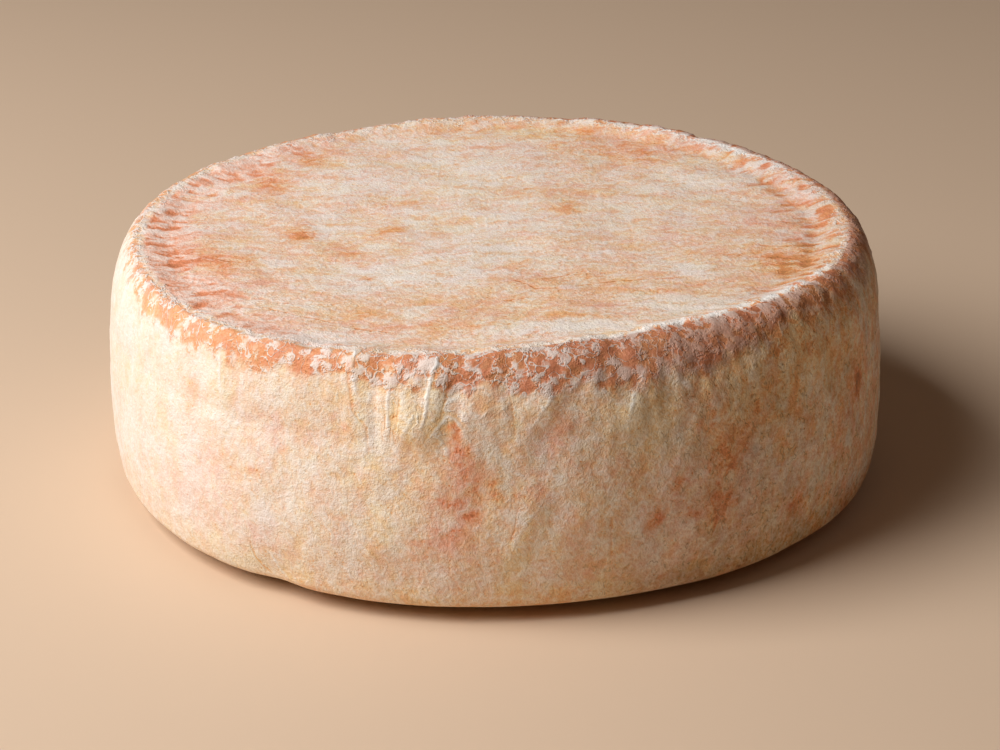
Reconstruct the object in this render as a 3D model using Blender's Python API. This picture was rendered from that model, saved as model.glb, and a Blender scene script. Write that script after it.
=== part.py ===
"""A whole wheel of washed-rind blue cheese: one low, round, slightly lopsided solid.

The wheel stands on its flat base with its axis on Z and its front at -Y. A turned profile gives the
base, the wide bottom corner, the bulging wall, the steep shoulder and the raised rim around the sunken
top. The relief then presses the wheel out of round and adds what the cloth and the hands left in the
rind: upright folds, shallow dents, crimps along the rim and a gentle unevenness all over.
"""

import math

import bmesh
import bpy
from mathutils import Vector, noise

MM = 0.001

# Driving dimensions of the turned wheel, in millimetres.
WALL_RADIUS = 98.4
WALL_BULGE = 1.6
HEIGHT = 64.6
SHOULDER_REACH = 7.0
SHOULDER_DROP = 19.3
BOTTOM_REACH = 21.5
BOTTOM_RISE = 6.4
CREST_RADIUS = 89.6
RIM_SLOPE_WIDTH = 8.0
RIM_RISE = 2.2

# How finely the wheel is divided.
SEGMENTS = 176
TOP_CELLS = SEGMENTS // 8
BOTTOM_ROWS = 6
WALL_ROWS = 9
SHOULDER_ROWS = 6
RIM_ROWS = 4

# How the rim changes round the wheel: it is higher at the sides than at the front and back, and it
# draws in towards the axis over some stretches: (azimuth, half width in degrees, how far it draws in).
RIM_RISE_SWING = 0.9
RIM_INSETS = (
    (-62.0, 34.0, 6.2),
    (-128.0, 26.0, -2.2),
    (42.0, 14.0, 1.6),
)

# The wheel out of true: its top leans, and its outline has two, three and four soft lobes. Each lobe
# is (count, cosine part, sine part), in millimetres of radius.
TOP_LEAN = 1.2
LOBES = (
    (2, -0.3, 0.3),
    (3, 0.1, -0.5),
    (4, -0.1, -0.6),
)

# Unevenness of the rind: (size of a swelling, its height), in millimetres.
SWELLINGS = (
    (34.0, 0.45),
    (13.0, 0.4),
)

# Upright folds in the wall: azimuth and height of the upper end, azimuth and height of the lower end,
# width of the ridge and how far it stands out. Each has a groove of the same depth on its right.
FOLDS = (
    (-97.6, 61.0, -99.6, 48.0, 3.2, 1.1),
    (-109.4, 61.0, -108.0, 44.0, 3.0, 0.8),
    (-104.0, 56.0, -105.4, 38.0, 3.0, 0.5),
    (-67.8, 58.0, -71.4, 47.0, 3.4, 0.8),
    (-82.4, 55.0, -86.0, 45.0, 3.0, 0.6),
    (-84.4, 31.0, -87.4, 19.0, 3.4, 0.8),
    (-130.5, 60.0, -130.2, 49.0, 3.2, 0.7),
    (-150.0, 52.0, -152.0, 38.0, 3.4, 0.6),
    (-38.0, 54.0, -36.0, 40.0, 3.4, 0.7),
    (-14.0, 52.0, -16.0, 40.0, 3.4, 0.5),
    (22.0, 56.0, 20.0, 42.0, 3.4, 0.8),
    (47.0, 53.0, 49.0, 37.0, 3.4, 0.7),
    (71.0, 34.0, 68.0, 18.0, 3.4, 0.6),
    (96.0, 57.0, 93.0, 43.0, 3.4, 0.9),
    (118.0, 53.0, 120.0, 39.0, 3.4, 0.6),
    (143.0, 56.0, 141.0, 44.0, 3.4, 0.7),
    (166.0, 35.0, 168.0, 20.0, 3.4, 0.5),
)

# Dents (negative) and bumps (positive) of the wall: azimuth, height above the base, half width, half
# height and depth.
DENTS = (
    (-121.5, 4.0, 7.0, 7.0, -1.6),
    (-131.0, 9.0, 9.0, 5.0, 0.6),
    (-155.0, 8.0, 12.0, 7.0, -0.5),
    (-84.5, 44.0, 12.0, 11.0, -0.6),
    (-78.0, 24.0, 13.0, 12.0, 0.7),
    (-93.5, 36.0, 10.0, 14.0, -0.5),
    (-101.0, 50.0, 5.0, 5.0, 0.8),
    (-171.0, 47.0, 20.0, 12.0, 0.5),
    (-170.0, 18.0, 14.0, 8.0, 0.2),
    (-9.0, 17.0, 18.0, 9.0, 0.4),
    (-46.0, 30.0, 16.0, 14.0, -0.6),
    (33.0, 52.0, 14.0, 9.0, 0.6),
    (60.0, 40.0, 14.0, 16.0, -0.7),
    (104.0, 20.0, 12.0, 9.0, -0.8),
    (130.0, 28.0, 15.0, 12.0, 0.6),
    (155.0, 30.0, 12.0, 14.0, -0.6),
)

# Crimps along the rim: how many run round it, their height and how far they reach from the crest.
CRIMP_COUNT = 46
CRIMP_HEIGHT = 0.55
CRIMP_REACH = 6.0

RIND_COLOR = (0.76, 0.49, 0.28, 1.0)
RIND_ROUGHNESS = 0.62


def remove_scene_objects():
    """Empties the scene."""
    for thing in list(bpy.data.objects):
        bpy.data.objects.remove(thing, do_unlink=True)


def turned_profile():
    """(radius, height) points from the edge of the base up the wall, over the crest and down the rim."""
    points = []
    for row in range(BOTTOM_ROWS + 1):
        turn = math.pi / 2 * row / BOTTOM_ROWS
        radius = WALL_RADIUS - BOTTOM_REACH * (1 - math.sin(turn))
        points.append((radius, BOTTOM_RISE * (1 - math.cos(turn))))
    wall_top = HEIGHT - SHOULDER_DROP
    for row in range(1, WALL_ROWS):
        share = row / WALL_ROWS
        bulge = WALL_BULGE * 4 * share * (1 - share)
        points.append((WALL_RADIUS + bulge, BOTTOM_RISE + share * (wall_top - BOTTOM_RISE)))
    for row in range(SHOULDER_ROWS + 1):
        turn = math.pi / 2 * row / SHOULDER_ROWS
        radius = WALL_RADIUS - SHOULDER_REACH * (1 - math.cos(turn))
        points.append((radius, wall_top + SHOULDER_DROP * math.sin(turn)))
    for row in range(RIM_ROWS + 1):
        share = row / RIM_ROWS
        fall = RIM_RISE * (1 - math.cos(math.pi * share)) / 2
        points.append((CREST_RADIUS - share * RIM_SLOPE_WIDTH, HEIGHT - fall))
    return points


def spin_profile(mesh):
    """Turns the profile round Z, which leaves the base and the top open."""
    corners = [mesh.verts.new((radius, 0.0, height)) for radius, height in turned_profile()]
    edges = [mesh.edges.new(pair) for pair in zip(corners, corners[1:])]
    bmesh.ops.spin(
        mesh,
        geom=corners + edges,
        cent=(0.0, 0.0, 0.0),
        axis=(0.0, 0.0, 1.0),
        angle=2 * math.pi,
        steps=SEGMENTS,
        use_merge=True,
    )


def add_sunken_top(mesh):
    """A square grid bent to a disc, joined to the foot of the rim's inner slope."""
    outer = [edge for edge in mesh.edges if edge.is_boundary and edge.verts[0].co.z > HEIGHT / 2]
    disc = bmesh.ops.create_grid(mesh, x_segments=TOP_CELLS, y_segments=TOP_CELLS, size=1.0)["verts"]
    radius = CREST_RADIUS - RIM_SLOPE_WIDTH - 2 * math.pi * CREST_RADIUS / SEGMENTS
    for vertex in disc:
        across = math.sqrt(2) * math.sin(math.pi / 4 * vertex.co.x)
        along = math.sqrt(2) * math.sin(math.pi / 4 * vertex.co.y)
        vertex.co.x = radius * across * math.sqrt(1 - along * along / 2)
        vertex.co.y = radius * along * math.sqrt(1 - across * across / 2)
        vertex.co.z = HEIGHT - RIM_RISE
    inner = {edge for vertex in disc for edge in vertex.link_edges if edge.is_boundary}
    bmesh.ops.bridge_loops(mesh, edges=outer + list(inner))


def close_base(mesh):
    """One flat face over the open base."""
    mesh.edges.ensure_lookup_table()
    bmesh.ops.holes_fill(mesh, edges=[edge for edge in mesh.edges if edge.is_boundary], sides=0)


def turn_between(azimuth, other):
    """Degrees from one azimuth to another, between -180 and 180."""
    return (azimuth - other + 180) % 360 - 180


def wall_distance(azimuth, height, other_azimuth, other_height):
    """(along the wall, up the wall) from one place on the wall to another, in millimetres."""
    turn = turn_between(azimuth, other_azimuth)
    return math.radians(turn) * WALL_RADIUS, height - other_height


def fold_relief(azimuth, height):
    """Ridges and grooves of the upright folds."""
    relief = 0.0
    for top_azimuth, top, low_azimuth, low, width, rise in FOLDS:
        share = (height - low) / (top - low)
        centre = low_azimuth + (top_azimuth - low_azimuth) * min(max(share, 0.0), 1.0)
        aside, _ = wall_distance(azimuth, height, centre, height)
        past_end = max(low - height, height - top, 0.0)
        fade = math.exp(-(past_end / width) ** 2)
        ridge = math.exp(-(aside / width) ** 2)
        groove = math.exp(-((aside - 1.6 * width) / width) ** 2)
        relief += rise * fade * (ridge - 0.6 * groove)
    return relief


def dent_relief(azimuth, height):
    """Shallow dents and bumps of the wall."""
    relief = 0.0
    for dent_azimuth, dent_height, half_width, half_height, depth in DENTS:
        aside, above = wall_distance(azimuth, height, dent_azimuth, dent_height)
        relief += depth * math.exp(-(aside / half_width) ** 2 - (above / half_height) ** 2)
    return relief


def crimp_relief(azimuth, radius, height):
    """Irregular crimps across the rim, strongest on its crest."""
    from_crest = math.hypot(radius - CREST_RADIUS, height - HEIGHT)
    fade = math.exp(-(from_crest / CRIMP_REACH) ** 2)
    turn = math.radians(azimuth)
    place = Vector((math.cos(turn), math.sin(turn), 0.0)) * CRIMP_COUNT / math.pi
    return CRIMP_HEIGHT * fade * noise.noise(place + Vector((0.0, 0.0, 7.3)))


def swelling_relief(point):
    """Gentle unevenness, the same all over."""
    relief = 0.0
    for size, height in SWELLINGS:
        relief += height * noise.noise(point / size + Vector((3.1, 5.7, size)))
    return relief


def relief_at(point):
    """How far the rind stands out from the turned surface at a point of it."""
    radius = math.hypot(point.x, point.y)
    azimuth = math.degrees(math.atan2(point.y, point.x))
    above_base = min(point.z / BOTTOM_RISE, 1.0)
    on_wall = min(max((radius - CREST_RADIUS) / SHOULDER_REACH * 2, 0.0), 1.0)
    if point.z < HEIGHT / 2:
        on_wall = 1.0
    relief = swelling_relief(point) + crimp_relief(azimuth, radius, point.z)
    relief += on_wall * (fold_relief(azimuth, point.z) + dent_relief(azimuth, point.z))
    return above_base * relief


def rim_drawn_in(point):
    """The point with the rim moved in or out, and the sunken top raised or lowered, by its azimuth."""
    radius = math.hypot(point.x, point.y)
    azimuth = math.degrees(math.atan2(point.y, point.x))
    inset = sum(
        depth * math.exp(-(turn_between(azimuth, middle) / width) ** 2)
        for middle, width, depth in RIM_INSETS
    )
    shoulder_edge = WALL_RADIUS - SHOULDER_REACH
    if point.z < HEIGHT - SHOULDER_DROP:
        share = 0.0
    elif radius > shoulder_edge:
        share = max(WALL_RADIUS - radius, 0.0) / SHOULDER_REACH
    else:
        share = radius / shoulder_edge
    sunk = 0.0
    if radius < CREST_RADIUS and point.z > HEIGHT / 2:
        foot = CREST_RADIUS - RIM_SLOPE_WIDTH
        down = min((CREST_RADIUS - radius) / RIM_SLOPE_WIDTH, 1.0)
        swing = RIM_RISE_SWING * math.cos(2 * math.radians(azimuth))
        sunk = swing * (1 - math.cos(math.pi * down)) / 2 * min(radius / foot, 1.0) ** 2
    stretch = 1 - inset * share / max(radius, 1.0)
    return Vector((point.x * stretch, point.y * stretch, point.z - sunk))


def out_of_true(point):
    """The point moved by the lobes of the outline and by the lean of the top."""
    azimuth = math.atan2(point.y, point.x)
    swell = sum(c * math.cos(n * azimuth) + s * math.sin(n * azimuth) for n, c, s in LOBES)
    stretch = 1 + swell / WALL_RADIUS
    rise = 1 + TOP_LEAN / HEIGHT * point.x / WALL_RADIUS
    return Vector((point.x * stretch, point.y * stretch, point.z * rise))


def shape_rind(mesh):
    """Moves every vertex of the turned wheel to its place on the real rind."""
    mesh.normal_update()
    places = [vertex.co + vertex.normal * relief_at(vertex.co) for vertex in mesh.verts]
    for vertex, place in zip(mesh.verts, places):
        vertex.co = out_of_true(rim_drawn_in(place)) * MM


def rind_material():
    """Pale orange rind, dry and dull."""
    material = bpy.data.materials.new("rind")
    material.use_nodes = True
    shader = material.node_tree.nodes["Principled BSDF"]
    shader.inputs["Base Color"].default_value = RIND_COLOR
    shader.inputs["Roughness"].default_value = RIND_ROUGHNESS
    shader.inputs["Metallic"].default_value = 0.0
    return material


def build_cheese_wheel():
    """The wheel as one closed solid."""
    mesh = bmesh.new()
    spin_profile(mesh)
    add_sunken_top(mesh)
    close_base(mesh)
    bmesh.ops.recalc_face_normals(mesh, faces=mesh.faces)
    shape_rind(mesh)
    data = bpy.data.meshes.new("cheese_wheel")
    mesh.to_mesh(data)
    mesh.free()
    data.shade_smooth()
    data.materials.append(rind_material())
    wheel = bpy.data.objects.new("cheese_wheel", data)
    bpy.context.scene.collection.objects.link(wheel)
    return wheel


remove_scene_objects()
build_cheese_wheel()
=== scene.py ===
"""The looks of a whole wheel of washed-rind blue cheese.

One closed piece, the rind, takes the place of the wheel's plain solid. It has the solid's form, and
on it the fine relief of the real rind: folds, wrinkles, the crimped and pleated rim, the crumpled top
and the torn skin of the shoulder. Fields with a value for each point say where the rind is orange,
pink, yellow, white or dark, and where its ridges and creases run. Some of the colour is painted light
and shade: paler on the lit side, darker in the shade and at the foot, and lighter or darker on
ridges, creases, pleats and the fine relief.

All lengths are in millimetres until the mesh is written. The wheel's front is at -Y. Azimuths are in
degrees from +X, the wheel's right, so the front has azimuths below 0.
"""

import functools
import itertools
import math

import bpy
import numpy as np
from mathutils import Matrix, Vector, noise


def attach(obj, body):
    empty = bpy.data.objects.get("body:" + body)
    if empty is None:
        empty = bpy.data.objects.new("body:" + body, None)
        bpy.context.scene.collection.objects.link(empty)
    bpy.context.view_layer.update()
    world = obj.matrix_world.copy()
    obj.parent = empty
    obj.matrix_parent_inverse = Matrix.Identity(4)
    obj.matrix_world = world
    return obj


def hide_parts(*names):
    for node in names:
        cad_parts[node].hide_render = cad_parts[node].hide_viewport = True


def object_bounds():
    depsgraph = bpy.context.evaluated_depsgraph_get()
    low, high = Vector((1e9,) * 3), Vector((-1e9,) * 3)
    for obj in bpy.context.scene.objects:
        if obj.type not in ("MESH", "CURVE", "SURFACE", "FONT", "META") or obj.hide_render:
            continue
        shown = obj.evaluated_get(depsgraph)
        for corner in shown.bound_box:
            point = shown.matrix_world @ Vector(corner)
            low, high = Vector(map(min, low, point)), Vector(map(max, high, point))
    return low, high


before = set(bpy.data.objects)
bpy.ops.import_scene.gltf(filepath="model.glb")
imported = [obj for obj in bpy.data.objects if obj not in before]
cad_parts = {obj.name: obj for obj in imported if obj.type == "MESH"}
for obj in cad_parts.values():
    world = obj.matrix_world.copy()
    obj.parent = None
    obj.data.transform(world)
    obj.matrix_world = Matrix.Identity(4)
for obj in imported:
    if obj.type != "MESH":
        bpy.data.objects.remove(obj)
CAD_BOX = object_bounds()

MM = 0.001

# The turned wheel, with the sizes of the solid.
WALL_RADIUS = 98.4
WALL_BULGE = 1.6
HEIGHT = 64.6
SHOULDER_REACH = 7.0
SHOULDER_DROP = 19.3
BOTTOM_REACH = 21.5
BOTTOM_RISE = 6.4
CREST_RADIUS = 89.6
RIM_SLOPE_WIDTH = 8.0
RIM_RISE = 2.2
RIM_RISE_SWING = 0.9

# Where the rim is drawn in, or let out: azimuth, half width in degrees, and depth.
RIM_INSETS = (
    (-62, 34, 6.2),
    (-128, 26, -2.2),
    (42, 14, 1.6),
)

# How much higher the wheel is at its right edge than on its axis.
TOP_LEAN = 1.2

# The outline's lobes: how many, and their cosine and sine parts.
LOBES = (
    (2, -0.3, 0.3),
    (3, 0.1, -0.5),
    (4, -0.1, -0.6),
)

# Gentle swellings all over: size and height.
SWELLINGS = (
    (34, 0.45),
    (13, 0.4),
)
SWELLING_SHIFT = (3.1, 5.7)

# Crimps of the rim, and how far from its crest they fade.
CRIMP_COUNT = 46
CRIMP_HEIGHT = 0.55
CRIMP_REACH = 6.0
CRIMP_SHIFT = 7.3

# How near the box's sides the relief starts to be eased back, in metres.
EASED = 0.0008

# How finely the rind is divided.
SEGMENTS = 672
BOTTOM_ROWS = 14
WALL_ROWS = 40
SHOULDER_ROWS = 26
CREST_ROWS = 2
RIM_ROWS = 10

# The least step inwards between the nodes of the top, where its grid's corners meet the rim.
CORNER_STEP = 0.35

# Upright folds: azimuth and height of the upper end, then of the lower end, width and rise.
FOLDS = (
    (-97.6, 61, -99.6, 48, 3.2, 1.1),
    (-109.4, 61, -108, 44, 3, 0.8),
    (-104, 56, -105.4, 38, 3, 0.5),
    (-67.8, 58, -71.4, 47, 3.4, 0.8),
    (-82.4, 55, -86, 45, 3, 0.6),
    (-84.4, 31, -87.4, 19, 3.4, 0.8),
    (-130.5, 60, -130.2, 49, 3.2, 0.7),
    (-150, 52, -152, 38, 3.4, 0.6),
    (-38, 54, -36, 40, 3.4, 0.7),
    (-14, 52, -16, 40, 3.4, 0.5),
    (22, 56, 20, 42, 3.4, 0.8),
    (47, 53, 49, 37, 3.4, 0.7),
    (71, 34, 68, 18, 3.4, 0.6),
    (96, 57, 93, 43, 3.4, 0.9),
    (118, 53, 120, 39, 3.4, 0.6),
    (143, 56, 141, 44, 3.4, 0.7),
    (166, 35, 168, 20, 3.4, 0.5),
)

# How much of its rise a fold keeps, and the groove on its right: place in widths, and depth as a share.
FOLD_SHARE = 0.45
GROOVE_PLACE = 1.6
GROOVE_DEPTH = 0.6

# Dents and bumps of the wall: azimuth, height, half width, half height and depth.
DENTS = (
    (-121.5, 4, 7, 7, -1.6),
    (-131, 9, 9, 5, 0.6),
    (-155, 8, 12, 7, -0.5),
    (-84.5, 44, 12, 11, -0.6),
    (-78, 24, 13, 12, 0.7),
    (-93.5, 36, 10, 14, -0.5),
    (-101, 50, 5, 5, 0.8),
    (-171, 47, 20, 12, 0.5),
    (-170, 18, 14, 8, 0.2),
    (-9, 17, 18, 9, 0.4),
    (-46, 30, 16, 14, -0.6),
    (33, 52, 14, 9, 0.6),
    (60, 40, 14, 16, -0.7),
    (104, 20, 12, 9, -0.8),
    (130, 28, 15, 12, 0.6),
    (155, 30, 12, 14, -0.6),
)

# The camera: its place in metres, how far it looks down in degrees, and its lens and sensor.
CAMERA_PLACE = (0.0016, -0.6733, 0.3014)
CAMERA_DIP = 22.51
CAMERA_LENS = 100.0
CAMERA_SENSOR = 36.0


# -------- Noise --------

NOISE_CELLS = 256
NOISE_DRAW = np.random.default_rng(638)
NOISE_ORDER = NOISE_DRAW.permutation(NOISE_CELLS)
NOISE_SLOPES = NOISE_DRAW.normal(size=(NOISE_CELLS, 3))
NOISE_SLOPES /= np.linalg.norm(NOISE_SLOPES, axis=1)[:, None]
NOISE_GAIN = 1.8
LAYER_RATIO = 2.03
LAYER_SHIFT = 7.7
ACCENT = 0.4


def smooth_noise(places, seed=0):
    """Gradient noise, about -1 to 1, with one swelling or hollow to a unit."""
    cell = np.floor(places).astype(int)
    part = places - cell
    ease = part**3 * (part * (part * 6 - 15) + 10)
    total = np.zeros(len(places))
    for corner in itertools.product((0, 1), repeat=3):
        code = np.full(len(places), seed)
        for axis in range(3):
            code = NOISE_ORDER[(code + cell[:, axis] + corner[axis]) % NOISE_CELLS]
        weight = np.prod(np.where(corner, ease, 1 - ease), axis=1)
        total += weight * np.sum(NOISE_SLOPES[code] * (part - corner), axis=1)
    return total * NOISE_GAIN


def layered_noise(places, seed=0, layers=3, roughness=0.5):
    """Noise with finer and finer layers."""
    total = np.zeros(len(places))
    strength = 1.0
    for layer in range(layers):
        layer_places = places * LAYER_RATIO**layer + LAYER_SHIFT * layer
        total += strength * smooth_noise(layer_places, seed + layer)
        strength *= roughness
    return total


def mottle(places, seed, layers=3, roughness=0.85):
    """Layered noise with a mean of 0 and a spread of 1. Each use has a seed of its own."""
    value = layered_noise(places, seed, layers, roughness)
    return (value - value.mean()) / value.std()


def between(low, high, value):
    """0 below low, 1 above high, and a smooth step between them."""
    share = np.clip((value - low) / (high - low), 0, 1)
    return share * share * (3 - 2 * share)


def hump(value, middle, half_width):
    """1 at the middle, falling smoothly to 0 on both sides."""
    return np.exp(-(((value - middle) / half_width) ** 2))


def accents(value):
    """The value with its small swings made smaller and its large ones larger."""
    return ACCENT * value + ACCENT * value * np.abs(value)


# -------- The turned rind --------


def azimuth_of(points):
    """Degrees round the wheel's axis."""
    return np.degrees(np.arctan2(points[:, 1], points[:, 0]))


def turn_between(azimuth, other):
    """Degrees from one azimuth to another, between -180 and 180."""
    return (azimuth - other + 180) % 360 - 180


def aside_of(azimuths, middle):
    """Millimetres round the wall from an azimuth."""
    return np.radians(turn_between(azimuths, middle)) * WALL_RADIUS


def profile_rows():
    """Rows of (radius, height, arc) from the base's edge to the rim's foot.

    The arc is the way along the profile. On the wall it is about the height.
    """
    rows = []
    for row in range(BOTTOM_ROWS):
        turn = math.pi / 2 * row / BOTTOM_ROWS
        radius = WALL_RADIUS - BOTTOM_REACH * (1 - math.sin(turn))
        rows.append((radius, BOTTOM_RISE * (1 - math.cos(turn))))
    wall_top = HEIGHT - SHOULDER_DROP
    for row in range(WALL_ROWS):
        share = row / WALL_ROWS
        bulge = WALL_BULGE * 4 * share * (1 - share)
        rows.append((WALL_RADIUS + bulge, BOTTOM_RISE + share * (wall_top - BOTTOM_RISE)))
    for row in range(SHOULDER_ROWS):
        turn = math.pi / 2 * row / SHOULDER_ROWS
        radius = WALL_RADIUS - SHOULDER_REACH * (1 - math.cos(turn))
        rows.append((radius, wall_top + SHOULDER_DROP * math.sin(turn)))
    shoulder_edge = WALL_RADIUS - SHOULDER_REACH
    for row in range(CREST_ROWS):
        radius = shoulder_edge + (CREST_RADIUS - shoulder_edge) * row / CREST_ROWS
        rows.append((radius, HEIGHT))
    for row in range(RIM_ROWS + 1):
        share = row / RIM_ROWS
        fall = RIM_RISE * (1 - math.cos(math.pi * share)) / 2
        rows.append((CREST_RADIUS - share * RIM_SLOPE_WIDTH, HEIGHT - fall))
    rows = np.array(rows)
    steps = np.linalg.norm(np.diff(rows, axis=0), axis=1)
    arc = np.concatenate([[0.0], np.cumsum(steps)])
    arc += BOTTOM_RISE - arc[BOTTOM_ROWS]
    return np.column_stack([rows, arc])


def profile_normals(rows):
    """Outward (radial, upward) directions of the rows."""
    run = np.gradient(rows[:, 0])
    rise = np.gradient(rows[:, 1])
    length = np.hypot(run, rise)
    return np.column_stack([rise / length, -run / length])


def quads(*corners):
    """Faces of four corners each, from arrays of the numbers of their points."""
    return np.column_stack([corner.ravel() for corner in corners]).tolist()


class Rind:
    """The turned wheel: its points, the way out, the azimuth and the arc of each, and its faces."""

    def __init__(self):
        rows = profile_rows()
        normals = profile_normals(rows)
        turns = 2 * math.pi * np.arange(SEGMENTS) / SEGMENTS
        cos, sin = np.cos(turns), np.sin(turns)

        def ring(out, up):
            """The outward and upward parts, taken round the wheel."""
            return np.column_stack([out * cos, out * sin, np.full(SEGMENTS, up)])

        ring_points = [ring(radius, height) for radius, height, _ in rows]
        ring_ways = [ring(out, up) for out, up in normals]
        ring_arcs = [np.full(SEGMENTS, arc) for _, _, arc in rows]
        disc, disc_nodes = self.disc_points(rows[-1, 0])
        foot_arc = rows[-1, 2]
        disc_arcs = foot_arc + rows[-1, 0] - np.hypot(disc[:, 0], disc[:, 1])
        disc = np.column_stack([disc, np.full(len(disc), rows[-1, 1])])
        self.points = np.vstack(ring_points + [disc])
        self.ways = np.vstack(ring_ways + [np.tile((0.0, 0.0, 1.0), (len(disc), 1))])
        self.arc = np.concatenate(ring_arcs + [disc_arcs])
        self.radius = np.hypot(self.points[:, 0], self.points[:, 1])
        self.azimuth = azimuth_of(self.points)
        self.faces = self.ring_faces(len(rows)) + self.disc_faces(len(rows), disc_nodes)
        self.faces.append(list(range(SEGMENTS))[::-1])

    @staticmethod
    def disc_points(radius):
        """Points of a square grid bent to a disc, without its edge, and the numbers of all its nodes.

        A node on the edge has a number below 0, which tells its place on the last ring.
        """
        cells = SEGMENTS // 4
        side = math.sqrt(2) * np.sin(math.pi / 4 * np.linspace(-1, 1, cells + 1))
        across, along = np.meshgrid(side, side, indexing="ij")
        x = radius * across * np.sqrt(1 - along**2 / 2)
        y = radius * along * np.sqrt(1 - across**2 / 2)
        from_side = cells / 2 - np.abs(np.arange(cells + 1) - cells / 2)
        depth = np.minimum.outer(from_side, from_side)
        shrink = np.minimum(1, (radius - CORNER_STEP * depth) / np.maximum(np.hypot(x, y), 1))
        x, y = x * shrink, y * shrink
        inside = np.zeros(x.shape, bool)
        inside[1:-1, 1:-1] = True
        nodes = np.full(x.shape, -1)
        nodes[inside] = np.arange(inside.sum())
        turn = np.round(np.arctan2(y, x) / (2 * math.pi) * SEGMENTS).astype(int) % SEGMENTS
        nodes[~inside] = -1 - turn[~inside]
        return np.column_stack([x[inside], y[inside]]), nodes

    @staticmethod
    def ring_faces(rows):
        """Quads between the rings."""
        low = np.arange(rows * SEGMENTS).reshape(rows, SEGMENTS)
        high = np.roll(low, -1, axis=1)
        return quads(low[:-1], high[:-1], high[1:], low[1:])

    @staticmethod
    def disc_faces(rows, nodes):
        """Quads of the disc, whose edge is the last ring."""
        last_ring = (rows - 1) * SEGMENTS
        numbers = np.where(nodes < 0, last_ring - 1 - nodes, last_ring + SEGMENTS + nodes)
        return quads(numbers[:-1, :-1], numbers[1:, :-1], numbers[1:, 1:], numbers[:-1, 1:])


# -------- The solid's own relief --------


def fold_relief(rind):
    """Ridges of the upright folds, each with a groove on its right."""
    height = rind.points[:, 2]
    relief = np.zeros(len(height))
    for top_azimuth, top, low_azimuth, low, width, rise in FOLDS:
        share = np.clip((height - low) / (top - low), 0, 1)
        aside = aside_of(rind.azimuth, low_azimuth + (top_azimuth - low_azimuth) * share)
        past_end = np.maximum(np.maximum(low - height, height - top), 0)
        shape = hump(aside, 0, width) - GROOVE_DEPTH * hump(aside, GROOVE_PLACE * width, width)
        relief += rise * hump(past_end, 0, width) * shape
    return relief


def dent_relief(rind):
    """Shallow dents and bumps of the wall."""
    relief = np.zeros(len(rind.points))
    for azimuth, height, half_width, half_height, depth in DENTS:
        aside = aside_of(rind.azimuth, azimuth)
        above = rind.points[:, 2] - height
        relief += depth * hump(aside, 0, half_width) * hump(above, 0, half_height)
    return relief


def crimp_relief(rind):
    """Irregular crimps across the rim, strongest on its crest."""
    from_crest = np.hypot(rind.radius - CREST_RADIUS, rind.points[:, 2] - HEIGHT)
    fade = hump(from_crest, 0, CRIMP_REACH)
    size = CRIMP_COUNT / math.pi
    waves = [
        noise.noise(Vector((math.cos(turn) * size, math.sin(turn) * size, CRIMP_SHIFT)))
        for turn in np.radians(rind.azimuth)
    ]
    return CRIMP_HEIGHT * fade * np.array(waves)


def swelling_relief(rind):
    """Gentle unevenness all over."""
    relief = np.zeros(len(rind.points))
    for size, height in SWELLINGS:
        shift = Vector((*SWELLING_SHIFT, size))
        relief += height * np.array([noise.noise(Vector(p) / size + shift) for p in rind.points])
    return relief


def solid_relief(rind):
    """The relief that the wheel's solid has too."""
    on_wall = np.clip((rind.radius - CREST_RADIUS) / SHOULDER_REACH * 2, 0, 1)
    on_wall[rind.points[:, 2] < HEIGHT / 2] = 1
    relief = swelling_relief(rind) + crimp_relief(rind)
    return relief + on_wall * (FOLD_SHARE * fold_relief(rind) + dent_relief(rind))


def rim_drawn_in(points):
    """The points with the rim moved in or out, and the sunken top raised or lowered, by azimuth."""
    radius = np.hypot(points[:, 0], points[:, 1])
    height = points[:, 2]
    azimuth = azimuth_of(points)
    inset = sum(
        depth * hump(turn_between(azimuth, middle), 0, half_width)
        for middle, half_width, depth in RIM_INSETS
    )
    edge = WALL_RADIUS - SHOULDER_REACH
    over_shoulder = np.maximum(WALL_RADIUS - radius, 0) / SHOULDER_REACH
    share = np.where(radius > edge, over_shoulder, radius / edge)
    share[height < HEIGHT - SHOULDER_DROP] = 0
    foot = CREST_RADIUS - RIM_SLOPE_WIDTH
    down = np.clip((CREST_RADIUS - radius) / RIM_SLOPE_WIDTH, 0, 1)
    swing = RIM_RISE_SWING * np.cos(2 * np.radians(azimuth))
    sunk = swing * (1 - np.cos(math.pi * down)) / 2 * np.minimum(radius / foot, 1) ** 2
    sunk[height < HEIGHT / 2] = 0
    stretch = 1 - inset * share / np.maximum(radius, 1)
    return np.column_stack([points[:, 0] * stretch, points[:, 1] * stretch, height - sunk])


def out_of_true(points):
    """The points moved by the lobes of the outline and by the lean of the top."""
    azimuth = np.arctan2(points[:, 1], points[:, 0])
    swell = sum(c * np.cos(n * azimuth) + s * np.sin(n * azimuth) for n, c, s in LOBES)
    stretch = 1 + swell / WALL_RADIUS
    rise = 1 + TOP_LEAN / HEIGHT * points[:, 0] / WALL_RADIUS
    return points * np.column_stack([stretch, stretch, rise])


# -------- What the rind shows, place by place --------

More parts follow.
